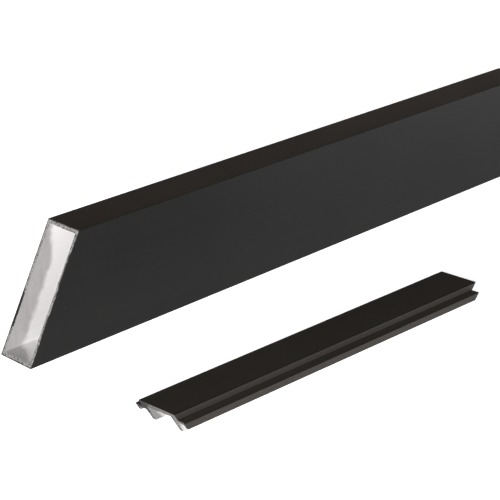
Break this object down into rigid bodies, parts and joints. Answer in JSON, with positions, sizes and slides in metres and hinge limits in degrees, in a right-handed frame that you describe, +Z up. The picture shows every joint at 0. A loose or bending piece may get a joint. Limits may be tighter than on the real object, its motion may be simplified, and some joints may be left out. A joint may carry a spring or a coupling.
{
  "type": "door rail and cover strip",
  "caption": "Hollow rectangular aluminium door rail with a raked end, and a loose cover strip: flat web, stepped ledges with lips, inset legs and mitred ends.",
  "frame": {"origin": "middle of the rail's underside, half way along its length and across its thickness", "axes": "+X along the rail, away from its raked end; -Y from the rail towards the loose strip; +Z up"},
  "size_m": [0.6604, 0.2175, 0.1016],
  "materials": {
    "rail_coating": "satin",
    "strip_coating": "satin",
    "raw_aluminium": "satin"
  },
  "bodies": {
    "rail": {"hollow_rail": "rail_coating"},
    "strip": {"cover_strip": "strip_coating"}
  },
  "joints": [
    {"name": "strip_lift", "type": "slide", "parent": "rail", "child": "strip", "axis": [0, 0, 1], "range_m": [0, 0.13]}
  ]
}
